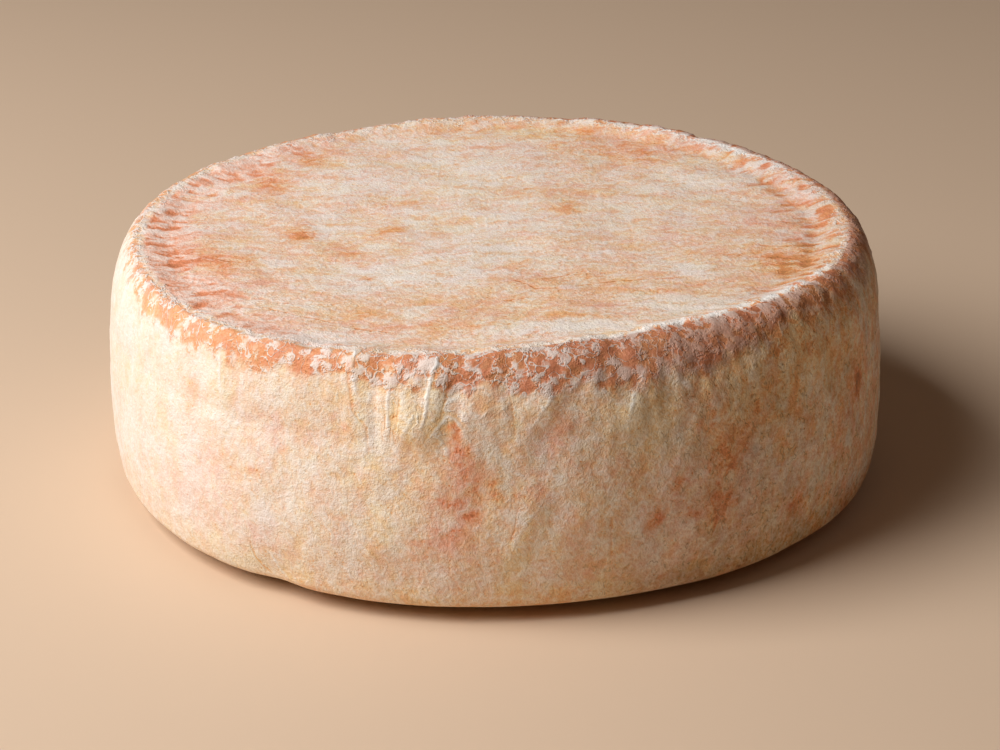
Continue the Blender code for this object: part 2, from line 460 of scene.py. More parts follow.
# Patches of the wall by kind: azimuth, arc, half width, half height and strength.
ORANGE_ON_WALL = (
    (-95.2, 49.2, 2, 1.5, 1.7),
    (-94.2, 44, 2.2, 3.4, 0.8),
    (-98, 45, 2.5, 3.8, 0.55),
    (-93.3, 41, 3.4, 3.5, 0.65),
    (-92.8, 34, 1.4, 1.8, 0.9),
    (-93.3, 28.7, 2.4, 1.5, 1.1),
    (-95.6, 32.5, 3.5, 2.4, 0.6),
    (-99.5, 20, 1.3, 3, 0.9),
    (-94.6, 24, 1.2, 2.4, 0.7),
    (-90, 37, 3, 2, 0.55),
    (-87.5, 33.5, 6, 1.2, 0.8),
    (-59.3, 36, 1.2, 2.2, 1),
    (-56.4, 35, 4.4, 5.6, 0.7),
    (-57.2, 26, 4.9, 4, 0.65),
    (-58.8, 46.5, 1, 3, 0.75),
    (-67.5, 24.2, 1.5, 1.7, 1.2),
    (-61.7, 24.2, 1.8, 1, 0.8),
    (-64.5, 32.6, 1.3, 1.8, 0.8),
    (-42.4, 16.6, 2.7, 1.6, 0.8),
    (-36.9, 16.5, 2.7, 1.6, 0.8),
    (-26.2, 38.6, 1.6, 3.4, 0.9),
    (-50.6, 45.2, 1, 1.8, 0.8),
    (-57.6, 60, 2.2, 1.1, 1.2),
    (-110.5, 48, 2.2, 2, 0.6),
    (-124.1, 33.7, 2.8, 1.6, 0.6),
    (-136, 48, 2.6, 2.4, 0.6),
    (-151, 39, 1.6, 3, 0.35),
    (-119, 40, 1.2, 1.6, 0.6),
)
PINK_ON_WALL = (
    (-96.5, 22, 4.4, 5, 1),
    (-96.5, 30, 4.6, 5, 0.75),
    (-95.5, 45.5, 2, 3.6, 1),
    (-94.5, 39, 4, 5, 0.5),
    (-82.2, 44.4, 4.2, 3.2, 0.8),
    (-84, 38, 3, 4, 0.5),
    (-121, 46, 3.4, 2.8, 1),
    (-124, 46.5, 5, 2, 0.6),
    (-114, 44, 6, 3, 0.5),
    (-130.9, 25.5, 9, 12, 0.6),
    (-127, 18, 6, 4, 0.6),
    (-138, 22, 6, 4, 0.5),
    (-64, 30, 6, 8, 0.5),
    (-28, 36, 5, 7, 0.5),
)
YELLOW_ON_WALL = (
    (-97.2, 55, 1.8, 7, 1),
    (-101.5, 54, 2.2, 7, 0.6),
    (-107.8, 50, 1.6, 9, 0.7),
    (-106, 43, 3, 5, 0.6),
    (-103.8, 23.6, 1.4, 2.2, 0.7),
    (-131.7, 11.2, 2, 3.4, 0.9),
    (-124.4, 10, 1.6, 2.6, 1),
    (-128, 7.6, 8, 1.4, 0.6),
    (-75.7, 8.7, 2.2, 1.4, 1.2),
    (-87.3, 9.8, 2.6, 1, 0.9),
    (-86.9, 15.7, 2.9, 3.2, 0.6),
    (-87.1, 49.4, 1.1, 2.2, 0.9),
    (-105.3, 28.2, 1.1, 2.4, 0.7),
    (-109, 35.7, 1, 5.3, 0.6),
    (-41.3, 60, 4.6, 2.6, 0.9),
    (-36.5, 50.6, 4.8, 5.6, 0.6),
    (-69, 52, 7, 6, 0.5),
    (-60.5, 8.6, 5.2, 1, 0.8),
    (-130.5, 54, 3, 6, 0.6),
    (-148, 47, 10, 10, 0.3),
)
WHITE_ON_WALL = (
    (-108, 23, 8, 8, 0.35),
    (-66, 30, 1.8, 4, 0.5),
    (-64, 21, 2, 2.4, 0.4),
    (-121, 46, 0.8, 0.8, 1.4),
    (-98, 62, 3, 3, 0.4),
    (-140, 55, 16, 8, 0.3),
)

# Patches of the top by kind: x, y, half width along x and y, and strength.
ORANGE_ON_TOP = (
    (-31, -56, 9, 6, 0.6),
    (-50, -3, 3.6, 5.2, 1.1),
    (-27, 2, 3.4, 3.4, 1),
    (-38, -14, 5, 5.6, 0.7),
    (-50, 60, 5, 8, 0.6),
    (-60, 38, 4, 7, 0.8),
    (20, 18, 3.4, 3.6, 0.9),
    (18, 68, 5, 5, 0.8),
    (-10, 86, 17, 8, 0.6),
    (24, 81, 17, 12, 0.55),
    (10, -52, 40, 10, 0.4),
    (0, -68, 26, 9, 0.5),
    (75, -26, 8, 10, 0.9),
    (22, -36, 16, 7, 0.5),
    (38, 64, 19, 11, 0.4),
    (-24, 24, 9, 3, 0.5),
    (14, 32, 12, 4, 0.5),
    (-68, -24, 8, 6, 0.7),
    (60, -18, 16, 4, 0.4),
    (44, -47, 24, 9, 0.4),
)
PINK_ON_TOP = (
    (-80, -18, 9, 30, 1),
    (-66, -44, 14, 16, 0.7),
    (-42, -69, 18, 7, 0.7),
    (-62, 45, 16, 22, 0.5),
    (77, 4, 11, 11, 0.6),
    (80, 30, 8, 20, 0.5),
    (6.5, -38, 6, 4, 0.6),
    (50, 66, 16, 10, 0.4),
    (-62, 4, 16, 10, 0.35),
)
WHITE_ON_TOP = (
    (-4, 53, 20, 28, 0.45),
    (-24, -34, 18, 8, 0.75),
    (6.5, -31, 26, 5, 0.4),
    (-40, 36, 14, 14, 0.4),
    (-20, 14, 7, 5, 0.6),
    (-42, 4, 5, 7, 0.7),
    (8, 8, 14, 8, 0.45),
    (-2, -16, 16, 8, 0.5),
    (40, 16, 14, 9, 0.45),
    (54, 38, 16, 13, 0.5),
    (77, 52, 6, 8, 0.8),
    (49, -30, 5, 6, 0.8),
    (50, -59, 12, 7, 1.2),
    (20, -75, 18, 4.2, 1.5),
    (-37, -73, 10, 5, 1.1),
    (-44, -52, 9, 2, 0.8),
    (-76, 2, 6, 4, 0.6),
)

# Thin white ridges of the wall, each with a groove on its right: its points by azimuth and arc, and
# its rise. Their white is partly bloom and partly a painted highlight, the groove's colour partly a
# painted shadow.
WALL_RIDGES = (
    (((-97.6, 67), (-98.2, 63.4), (-99, 54.3), (-99.6, 48)), 1),
    (((-109.8, 67.5), (-109.3, 63), (-108.4, 55)), 0.8),
    (((-104.2, 58.5), (-103.9, 53), (-103.8, 46.5)), 0.8),
    (((-100.5, 53), (-101.4, 50), (-102.3, 46.4)), 0.5),
    (((-130.5, 60), (-130.2, 55), (-129.8, 48.5)), 0.8),
    (((-81.9, 57), (-83.2, 54.1), (-84.8, 49)), 0.7),
    (((-83.9, 30.7), (-85.7, 26.3), (-87.6, 19.8)), 0.5),
    (((-68, 60), (-70.4, 55), (-71.7, 47.9)), 0.7),
    (((-121.4, 12), (-120.6, 8), (-119, 5)), 0.6),
    (((-98, 48.4), (-96.9, 50.6), (-96, 52.4), (-95.1, 51.6), (-94.3, 50.2), (-93.3, 47.2)), 1.2),
    (((-97.7, 48.8), (-96.8, 46.4), (-96, 44.6), (-96.2, 42.6)), 0.8),
    (((-96.3, 54.6), (-95.9, 56), (-95.2, 56.4), (-94.4, 55.4)), 0.6),
    (((-92.6, 53.3), (-91.7, 52.5), (-90.4, 54), (-89.7, 54.8)), 0.6),
    (((-93.8, 58.6), (-92.6, 59.2), (-90.6, 58.6)), 0.5),
    (((-89.2, 53.6), (-87.6, 55.4), (-86.1, 56.5)), 0.5),
    (((-58, 19), (-60, 13), (-61, 9)), 0.4),
)

# Creases: the wall's by azimuth and arc, the top's by x and y, and the depth of each.
WALL_CREASES = (
    (((-95.8, 64), (-96.1, 58), (-97, 51)), 0.9),
    (((-110.2, 64), (-108.9, 53), (-107, 48.7), (-106.4, 41)), 0.8),
    (((-103.2, 52), (-103, 45)), 0.7),
    (((-104.8, 52), (-104.6, 45)), 0.6),
    (((-86.6, 30.5), (-87.9, 20)), 0.7),
    (((-74.1, 26.5), (-73.8, 13)), 0.5),
    (((-124.6, 13), (-123.6, 9), (-121.8, 5)), 1.2),
    (((-95.2, 12.5), (-94.2, 8)), 0.6),
    (((-102.6, 58), (-102.4, 50)), 0.6),
    (((-87.6, 56), (-87, 47)), 0.6),
    (((-95.6, 60.6), (-91.5, 61), (-87.7, 62.3), (-83, 61.6)), 0.5),
    (((-60, 30), (-58, 21), (-59.6, 14)), 0.5),
)
TOP_CREASES = (
    (((-2, -30), (2, -28), (7, -25), (11, -22)), 0.7),
    (((13, -39), (17, -37), (21, -34), (27, -32)), 0.8),
    (((20, -45), (26, -42), (31, -40), (38, -39), (48, -37), (66, -31.5)), 0.9),
    (((4, -38), (7, -40), (11, -45), (20, -46)), 0.8),
    (((-11, -17), (-4, -15)), 0.7),
    (((-33, -35), (-29, -33), (-24, -31)), 0.8),
    (((3, -53), (10, -51)), 0.9),
    (((-34, -66), (-28, -68), (-22, -71)), 0.9),
    (((-54, -54), (-44, -60), (-33, -64)), 0.8),
    (((-54, -51), (-42, -52), (-30, -50)), 0.7),
    (((68, -14), (75, -15), (82, -13)), 0.8),
    (((66, -21), (76, -23)), 0.6),
    (((66, 2), (74, 4), (82, 2)), 0.8),
    (((-72, -22), (-64, -25), (-58, -22)), 0.6),
)

# Where the shoulder's torn skin is orange through its holes: azimuth, arc, half width, half height
# and strength.
BAND_ORANGE = (
    (-164, 68, 14, 3, 0.7),
    (-153, 66, 9, 3.4, 0.9),
    (-143.5, 63.5, 6, 4.4, 0.9),
    (-136, 64, 5, 4, 0.6),
    (-129, 63, 6, 3.5, 1.4),
    (-121.5, 62.5, 6, 3.4, 1.1),
    (-117, 63.5, 6, 4, 1.1),
    (-112, 62, 4, 3, 1),
    (-106.6, 63, 3.4, 2.6, 1.1),
    (-103.6, 65.5, 2.6, 1.6, 1),
    (-99.6, 66, 2, 1.4, 0.7),
    (-95, 64.5, 3.4, 3, 1.1),
    (-91, 63, 5, 3.4, 0.9),
    (-85, 63.5, 7, 2.4, 0.9),
    (-79, 63.5, 7, 2.4, 1),
    (-73, 66.5, 10, 2, 0.8),
    (-62, 67, 14, 1.4, 1.1),
    (-67.5, 61, 1.2, 3.4, 1),
    (-45, 68, 10, 1.6, 0.7),
    (-30, 64, 12, 4, 0.7),
)


WALL_PATCHES = (ORANGE_ON_WALL, PINK_ON_WALL, YELLOW_ON_WALL, WHITE_ON_WALL)
TOP_PATCHES = (ORANGE_ON_TOP, PINK_ON_TOP, WHITE_ON_TOP)

# The arc over which the wall turns into the top, and the arc that parts the lines of the two.
TOP_START = (67.6, 69.6)
LINES_PART = 70.0

# The shade's end and the lit side's start, in degrees from the right on both sides. The colour fields
# use them for painted light and shade: paler on the lit side, deeper and darker in the shade.
SHADE_END = (52, 88)
LIT_START = (75, 160)

# How far sideways the rim's relief and the left side start, as shares of the radius.
RIM_SIDES = (0.35, 0.95)
LEFT_SIDE = (0.2, 0.9)

# How far noise pushes the places of patches and sways those of lines, on the points and on the ring,
# which is a cylinder with the arc as its height.
PUSH_SIZE = 5.0
PUSH = 1.6
RING_PUSH = 1.4
SWAY = 0.6
RING_SWAY = 0.35

# How steeply a patch falls off.
PATCH_FALL = 0.7

# Lines: how far away they are felt and where they fade, and the shares of their length over which they
# start and end.
LINE_REACH = 6.0
LINE_FADE = (1.1, 1.8)
LINE_START = (-0.15, 0.15)
LINE_END = (0.7, 1.05)

# The shoulder's torn skin: the arc where it starts, how softly it starts, and how much more softly
# in the shade, and the arc over which it ends.
BAND_LOW = 59.6
BAND_SOFTNESS = 1.2
SHADED_SOFTNESS = 4.0
BAND_END = (67, 69)

# Wrinkled places beside two folds: azimuth, arc, half width in degrees, half height and strength.
WRINKLED = (
    (-103, 52, 10, 12, 1),
    (-68, 50, 16, 12, 0.5),
)

# Heights of the fine relief. The last two fill the hollow inside the rim: at both sides, and more at
# the left.
LUMP_HEIGHT = 0.09
LUMP_LOSS_IN_LIGHT = 0.03
WRINKLE_HEIGHT = 0.11
LIP_HEIGHT = 0.15
PLEAT_DEPTH = 0.28
CRUMPLE_HEIGHT = 0.06
CRUMB_HEIGHT = 0.12
TORN_HEIGHT = 0.09
FILLING = 0.8
FILLING_AT_LEFT = 1.3

# Arcs near the rim: middle and half width, or start and end.
LIP = (69, 1.1)
CRUMBS = (69.4, 2)
FILLING_START = (69, 77.5)
FILLING_END = (77, 125)
PLEATS_START = (68.6, 70.2)
PLEATS_END = (74, 84)
CREST_ARC = 68.8
CREST_HALF_WIDTH = 1.8

# Where the wall is dim, ochre and light: azimuth and half width in degrees.
WALL_PLACES = ((-56, 18), (-42, 22), (-101, 8))

# The torn skin's front, where it is white, bare, dark and brown, and where it reaches further down, and
# where the crest is dusted: middle and half width, in degrees from the right on both sides.
BAND_PLACES = ((82, 16), (104, 13), (125, 10), (124, 10), (38, 12))
BAND_DIP = (75, 13)
CREST_DUSTED = (48, 30)

# The rind is a ground with bloom over it. under and over are the pigment of the two, from white to
# deep orange, cover says where the bloom lies, hue turns the pigment from pink to yellow, soft is the
# width of the bloom's edges, marks is the share of small dark marks and of the painted shade of the
# fine relief, and tone is how light the rind is in all, with painted light and shade in it.
FIELD_NAMES = ("under", "over", "cover", "hue", "soft", "marks", "tone")


class Looks:
    """The fine relief of the rind and the fields that colour it, one value for each point."""

    def __init__(self, rind):
        self.rind = rind
        self.points = rind.points
        turn = np.radians(rind.azimuth)
        across, along = np.cos(turn), np.sin(turn)
        self.ring = np.column_stack([across * WALL_RADIUS, along * WALL_RADIUS, rind.arc])
        self.from_right = np.abs(rind.azimuth)
        self.is_top = between(*TOP_START, rind.arc)
        push = [layered_noise(self.points / PUSH_SIZE, 40 + axis, 3) for axis in range(3)]
        push = np.column_stack(push)
        self.pushed = self.points + PUSH * push
        self.pushed_ring = self.ring + RING_PUSH * push
        self.pushed_azimuth = azimuth_of(self.pushed_ring)
        self.swayed = self.points + SWAY * push
        self.swayed_ring = self.ring + RING_SWAY * push
        self.swayed_azimuth = azimuth_of(self.swayed_ring)
        self.lit = between(*LIT_START, self.from_right)
        self.shaded = 1 - between(*SHADE_END, self.from_right)
        self.rim_side = between(*RIM_SIDES, np.abs(across))
        self.left_side = between(*LEFT_SIDE, -across)
        self.band = self.band_field()
        self.pleats, self.pleat_share = self.pleat_fields()

    def near(self, azimuth, half_width):
        """1 at an azimuth, falling to 0 on both sides of it."""
        return hump(turn_between(self.rind.azimuth, azimuth), 0, half_width)

    def stretched(self, along_arc, size):
        """Places for noise with features of a size, drawn out along the arc by a small share."""
        places = self.ring / size
        places[:, 2] *= along_arc
        return places

    def on_wall(self, patches):
        """1 in the middle of the wall's patches, falling to 0 outside them.

        Each patch lies on the front and, mirrored, on the back.
        """
        field = np.zeros(len(self.points))
        for azimuth, arc, half_width, half_height, strength in patches:
            above = (self.pushed_ring[:, 2] - arc) / half_height
            for place in (azimuth, -azimuth):
                aside = aside_of(self.pushed_azimuth, place) / half_width
                patch = strength * np.exp(-PATCH_FALL * (aside**2 + above**2))
                field = np.maximum(field, patch)
        return field * np.clip(1 + 0.3 * mottle(self.pushed_ring / 3.0, 75, 2), 0.4, 1.6)

    def on_top(self, patches):
        """1 in the middle of the top's patches, falling to 0 outside them."""
        field = np.zeros(len(self.points))
        for x, y, half_x, half_y, strength in patches:
            away = ((self.pushed[:, 0] - x) / half_x) ** 2 + ((self.pushed[:, 1] - y) / half_y) ** 2
            field = np.maximum(field, strength * np.exp(-PATCH_FALL * away))
        broken = mottle(self.pushed / (9, 3.5, 5), 76, 2)
        return field * self.is_top * np.clip(1 + 0.35 * broken, 0.3, 1.7)

    def from_lines(self, wall_lines, top_lines=()):
        """Signed distance to the nearest line, positive on its right, and that line's strength.

        Each of the wall's lines lies on the front and, mirrored, on the back.
        """
        nearest = np.full(len(self.points), LINE_REACH)
        signed = nearest.copy()
        strengths = np.zeros(len(self.points))
        lines = [(line, strength, True, side) for line, strength in wall_lines for side in (1, -1)]
        lines += [(line, strength, False, 1) for line, strength in top_lines]
        for line, strength, on_wall, side in lines:
            total = len(line) - 1
            for step, (start, end) in enumerate(zip(line, line[1:])):
                if on_wall:
                    across = aside_of(self.swayed_azimuth, side * (start[0] + end[0]) / 2)
                    along = self.swayed_ring[:, 2]
                    half = math.radians(side * (end[0] - start[0]) / 2) * WALL_RADIUS
                    a, b = (-half, start[1]), (half, end[1])
                else:
                    across, along = self.swayed[:, 0], self.swayed[:, 1]
                    a, b = start, end
                way = (b[0] - a[0], b[1] - a[1])
                share = ((across - a[0]) * way[0] + (along - a[1]) * way[1]) / math.hypot(*way) ** 2
                held = np.clip(share, 0, 1)
                away = np.hypot(across - a[0] - held * way[0], along - a[1] - held * way[1])
                away = np.where(on_wall == (self.rind.arc < LINES_PART), away, LINE_REACH)
                sign = np.sign((across - a[0]) * way[1] - (along - a[1]) * way[0])
                sign = -sign if on_wall else sign
                closer = away < nearest
                nearest = np.where(closer, away, nearest)
                signed = np.where(closer, away * sign, signed)
                whole = (step + held) / total
                fade = between(*LINE_START, whole) * (1 - between(*LINE_END, whole))
                fade = strength * fade * (1 - between(*LINE_FADE, away))
                strengths = np.where(closer, fade, strengths)
        return signed, strengths

    def band_field(self):
        """1 on the torn, brightly coloured skin of the upper shoulder."""
        low = BAND_LOW + 1.2 * mottle(self.points / 7.0, 50, 3, 0.8)
        low += 4.5 * between(140, 172, self.from_right) + 3.0 * between(60, 30, self.from_right)
        low -= 2.5 * hump(self.from_right, *BAND_DIP)
        softness = BAND_SOFTNESS + SHADED_SOFTNESS * self.shaded
        share = (self.rind.arc - low + softness) / (1.6 * softness)
        return between(0, 1, share) * (1 - between(*BAND_END, self.rind.arc))

    def pleat_fields(self):
        """0 to 1 in the short hollows that run down the rim's inner side, and how strong they are."""
        places = self.stretched(0.4, 6.2) + 0.1 * self.pushed
        arc = self.rind.arc + 2.5 * mottle(self.points / 7.0, 66, 2)
        strength = between(*PLEATS_START, self.rind.arc) * (1 - between(*PLEATS_END, arc))
        return between(0.0, 1.4, mottle(places, 63, 2, 0.7)), strength * self.rim_side

    def wall_relief(self):
        """Lumps all over the wall, and upright wrinkles in their places."""
        arc = self.rind.arc
        wrinkled = sum(
            strength * self.near(azimuth, half_width) * hump(arc, middle, half_height)
            for azimuth, middle, half_width, half_height, strength in WRINKLED
        )
        lumps = (LUMP_HEIGHT - LUMP_LOSS_IN_LIGHT * self.lit) * mottle(self.pushed / 8.0, 60, 3, 0.8)
        upright = WRINKLE_HEIGHT * mottle(self.stretched(0.22, 3.0), 61, 2)
        return between(5.0, 12.0, arc) * (1 - self.is_top) * (lumps + upright * (0.08 + wrinkled))

    def rim_relief(self):
        """The rim's sharp lip, the filled hollow inside it, its pleats and its crumbs of bloom."""
        arc = self.rind.arc
        uneven = 1 + 0.8 * layered_noise(self.ring / 4.0, 62, 2)
        relief = LIP_HEIGHT * self.rim_side * hump(arc, *LIP) * uneven
        filled = between(*FILLING_START, arc) * (1 - between(*FILLING_END, arc))
        relief += (FILLING * self.rim_side + FILLING_AT_LEFT * self.left_side) * filled
        relief -= PLEAT_DEPTH * self.pleats * self.pleat_share
        return relief + CRUMB_HEIGHT * mottle(self.pushed / 2.8, 67, 2) * hump(arc, *CRUMBS)

    def fine_relief(self):
        """The relief that only the rind has, in millimetres."""
        crumple = mottle(self.pushed / (8, 4.5, 6), 64, 3, 0.6)
        torn = mottle(self.ring / 3.0, 65, 2, 0.6)
        relief = self.wall_relief() + self.rim_relief()
        relief += CRUMPLE_HEIGHT * self.is_top * crumple + TORN_HEIGHT * self.band * torn
        return relief * np.minimum(self.points[:, 2] / BOTTOM_RISE, 1)

    def wall_fields(self):
        """The colour fields of the wall, in the order of FIELD_NAMES."""
        arc, lit, shaded = self.rind.arc, self.lit, self.shaded
        orange, pink, yellow, white = map(self.on_wall, WALL_PATCHES)
        places = self.pushed_ring * (1, 1, 0.7)
        blotches = mottle(places / 8.0, 70, 3, 0.95)
        broad = mottle(self.points / 34.0, 72, 2)
        tint = mottle(places / 12.0, 73, 3)
        patchy = mottle(self.pushed / 5.0, 79, 2)
        streaks = mottle(self.stretched(0.16, 4.0) + 0.1 * self.pushed, 78, 3, 0.8)
        streaks *= 1 - between(25, 60, self.from_right)
        foot = 1 - between(6.0, 13.0, arc)
        shoulder = between(48, 58, arc)
        dim, ochre, light = (self.near(*place) for place in WALL_PLACES)
        ochre *= 0.4 + 0.6 * between(25, 50, arc)
        light *= between(10, 30, arc)
        # Painted light and shade: the lit side is paler, the shaded side deeper, and the foot browner,
        # more so in the shade.
        base = 0.46 - 0.24 * lit + 0.02 * shaded + (0.10 + 0.10 * shaded) * foot
        contrast = 0.30 - 0.14 * lit + 0.03 * shaded
        under = base + contrast + 0.34 * orange + 0.12 * pink - 0.1 * yellow
        under += (0.1 + 0.15 * shoulder) * ochre
        over = base - contrast + 0.34 * orange + 0.18 * pink + 0.06 * dim + 0.04 * shaded
        over += 0.12 * shoulder * ochre
        cover = 0.5 + 0.22 * accents(blotches) + 0.06 * broad + 0.2 * streaks
        cover += 0.5 * white - 0.4 * orange - 0.2 * pink
        hue = 0.60 - 0.14 * lit + 0.12 * tint + 0.7 * yellow - 0.6 * pink - 0.1 * orange
        hue += (0.3 - 0.25 * lit) * foot + 0.4 * ochre - 0.1 * shaded
        # Marks, with the painted shade of the fine relief that they carry, are more in the shade and
        # fewer on the lit side.
        marks = 0.3 + 0.7 * shaded - 0.25 * lit + 0.25 * (1 - between(10, 24, arc))
        # Painted shade darkens the foot on the shaded side.
        tone = 1 + 0.09 * light - 0.15 * dim - 0.2 * foot * shaded + 0.08 * ochre
        tone += 0.05 * shaded * patchy
        return under, over, cover, hue, 0.8, marks, tone

    def band_fields(self):
        """The same of the shoulder's torn skin."""
        lit, shaded = self.lit, self.shaded
        orange = self.on_wall(BAND_ORANGE)
        blotches = mottle(self.pushed_ring / 6.0, 80, 3, 0.9)
        tint = mottle(self.ring / 9.0, 81, 2)
        front, white, bare, dark, brown = (hump(self.from_right, *place) for place in BAND_PLACES)
        # Painted light and shade: the ground is paler on the lit side and the bloom deeper in the
        # shade.
        under = 1.0 - 0.16 * lit + 0.08 * np.minimum(orange, 1) + 0.12 * brown
        over = 0.34 - 0.12 * lit + 0.50 * shaded - 0.06 * front + 0.06 * brown
        cover = 0.50 + 0.02 * lit + 0.2 * blotches - 0.34 * orange + 0.14 * white - 0.2 * bare
        cover += 0.1 * between(148, 168, self.from_right)
        hue = 0.26 + 0.12 * lit + 0.12 * tint - 0.10 * front + 0.05 * orange + 0.25 * brown
        # Painted light and shade: lighter on the lit side, darker toward the front, far darker in the
        # shade.
        tone = 0.94 + 0.06 * lit - 0.14 * front - 0.34 * shaded - 0.06 * dark
        return under, over, cover, hue, 0.36, 0.3, tone

    def top_fields(self):
        """The same of the top."""
        x, y = self.points[:, 0], self.points[:, 1]
        orange, pink, white = map(self.on_top, TOP_PATCHES)
        streaks = mottle(self.pushed / (12, 5, 9), 74, 3, 0.95)
        tint = mottle(self.pushed / (20, 12, 9), 77, 3)
        pleats, pleat_share = self.pleats, self.pleat_share
        left = pleat_share * between(0.0, 60.0, -x)
        right = pleat_share * between(20.0, 70.0, x)
        base = 0.46 + 0.05 * between(-20.0, 60.0, x)
        under = base + 0.28 + 0.24 * orange + 0.14 * pink + 0.18 * pleats * pleat_share + 0.05 * left
        over = base - 0.25 + 0.18 * orange + 0.12 * pink - 0.08 * white + 0.04 * left
        cover = 0.5 + 0.22 * accents(streaks) + 0.65 * white - 0.4 * orange - 0.2 * pink
        cover += (0.2 - 1.1 * pleats) * pleat_share
        hue = 0.42 + 0.12 * tint - 0.42 * pink + 0.15 * orange - 0.4 * left
        marks = 0.4 * between(30.0, -50.0, y)
        # Painted light on the left inside of the rim and painted shade in its pleats' hollows and on
        # its right inside; the top is a little lighter toward the left.
        tone = 1 + (0.07 - 0.12 * pleats) * left + 0.03 * between(10, 60, -x) - 0.12 * right
        return under, over, cover, hue, 0.7, marks, tone

    def crest_bloom(self):
        """Bloom on the rim's crest, thickest to the front and back right and thin at the left."""
        dusted = 0.4 + 0.6 * hump(self.from_right, *CREST_DUSTED)
        dusted -= 0.4 * between(30, 10, self.from_right)
        dusted *= 1 - 0.6 * self.left_side
        half_width = CREST_HALF_WIDTH + 0.9 * self.shaded
        return dusted * hump(self.rind.arc, CREST_ARC - self.shaded, half_width)

    def fields(self):
        """The fields by name: those of FIELD_NAMES, and the rim, ridges, creases and band."""
        fields = {}
        sides = zip(FIELD_NAMES, self.wall_fields(), self.band_fields(), self.top_fields())
        for name, on_wall, on_band, on_top in sides:
            side = on_wall + self.band * (on_band - on_wall)
            fields[name] = side + self.is_top * (on_top - side)
        crest = self.crest_bloom()
        fields["cover"] += crest * (0.6 + 0.9 * mottle(self.pushed_ring / 3.2, 85, 2, 0.9))
        fields["over"] -= 0.4 * self.shaded * crest
        fields["hue"] -= 0.4 * self.shaded * crest
        # The crest's bloom is also lighter in tone, more so in the shade: painted light.
        fields["tone"] += (0.05 + 0.1 * self.shaded) * crest
        fields["rim"] = self.rind.arc + 1.3 * mottle(self.ring / 7.0, 86, 2) + 1.8 * self.left_side
        fields["ridge"], fields["ridge_rise"] = self.from_lines(WALL_RIDGES)
        fields["crease"], fields["crease_depth"] = self.from_lines(WALL_CREASES, TOP_CREASES)
        fields["band"] = self.band
        return fields


# -------- Material --------

# How far one layer of the noise node spreads to both sides of its middle.
NOISE_SPREAD = 0.14

ROUGHNESS = 0.62

# The rind's colour by its pigment as a share of the deepest, at the pink end of the hue and at the
# yellow end.
PINK_SCALE = (
    (0.0, (0.92, 0.86, 0.81)),
    (0.24, (0.89, 0.72, 0.63)),
    (0.48, (0.86, 0.55, 0.43)),
    (0.68, (0.83, 0.42, 0.28)),
    (0.8, (0.78, 0.27, 0.13)),
    (1.0, (0.50, 0.17, 0.07)),
)
YELLOW_SCALE = (
    (0.0, (0.92, 0.87, 0.77)),
    (0.24, (0.89, 0.76, 0.56)),
    (0.48, (0.88, 0.63, 0.35)),
    (0.68, (0.88, 0.50, 0.22)),
    (0.8, (0.84, 0.36, 0.12)),
    (1.0, (0.52, 0.23, 0.07)),
)
DEEPEST = 1.25
MARK_BROWN = (0.38, 0.23, 0.12, 1.0)

# The strip of crumbs on the rim's crest, by the rim field: middle and half width.
RIM_STRIP = (69.0, 2.6)

# Sizes of the torn skin's curls and of the specks, and how far noise moves the curls' places.
CURL_SIZE = 3.4
CURL_WANDER = 0.3
SPECK_SIZE = 1.4

# Lines, by the distance from their middle: middle and half width.
RIDGE_CREST = (0.0, 0.8)
RIDGE_DITCH = (1.3, 1.0)
CREASE = (0.0, 0.55)

# Heights of the bump.
FINE_BUMP = 0.028
GRAIN_BUMP = 0.008
RIDGE_BUMP = 0.15
CRUMB_BUMP = 0.1
CREASE_BUMP = -0.1
HAIR_BUMP = -0.08
CURL_BUMP = 0.1
BLOOM_BUMP = 0.08


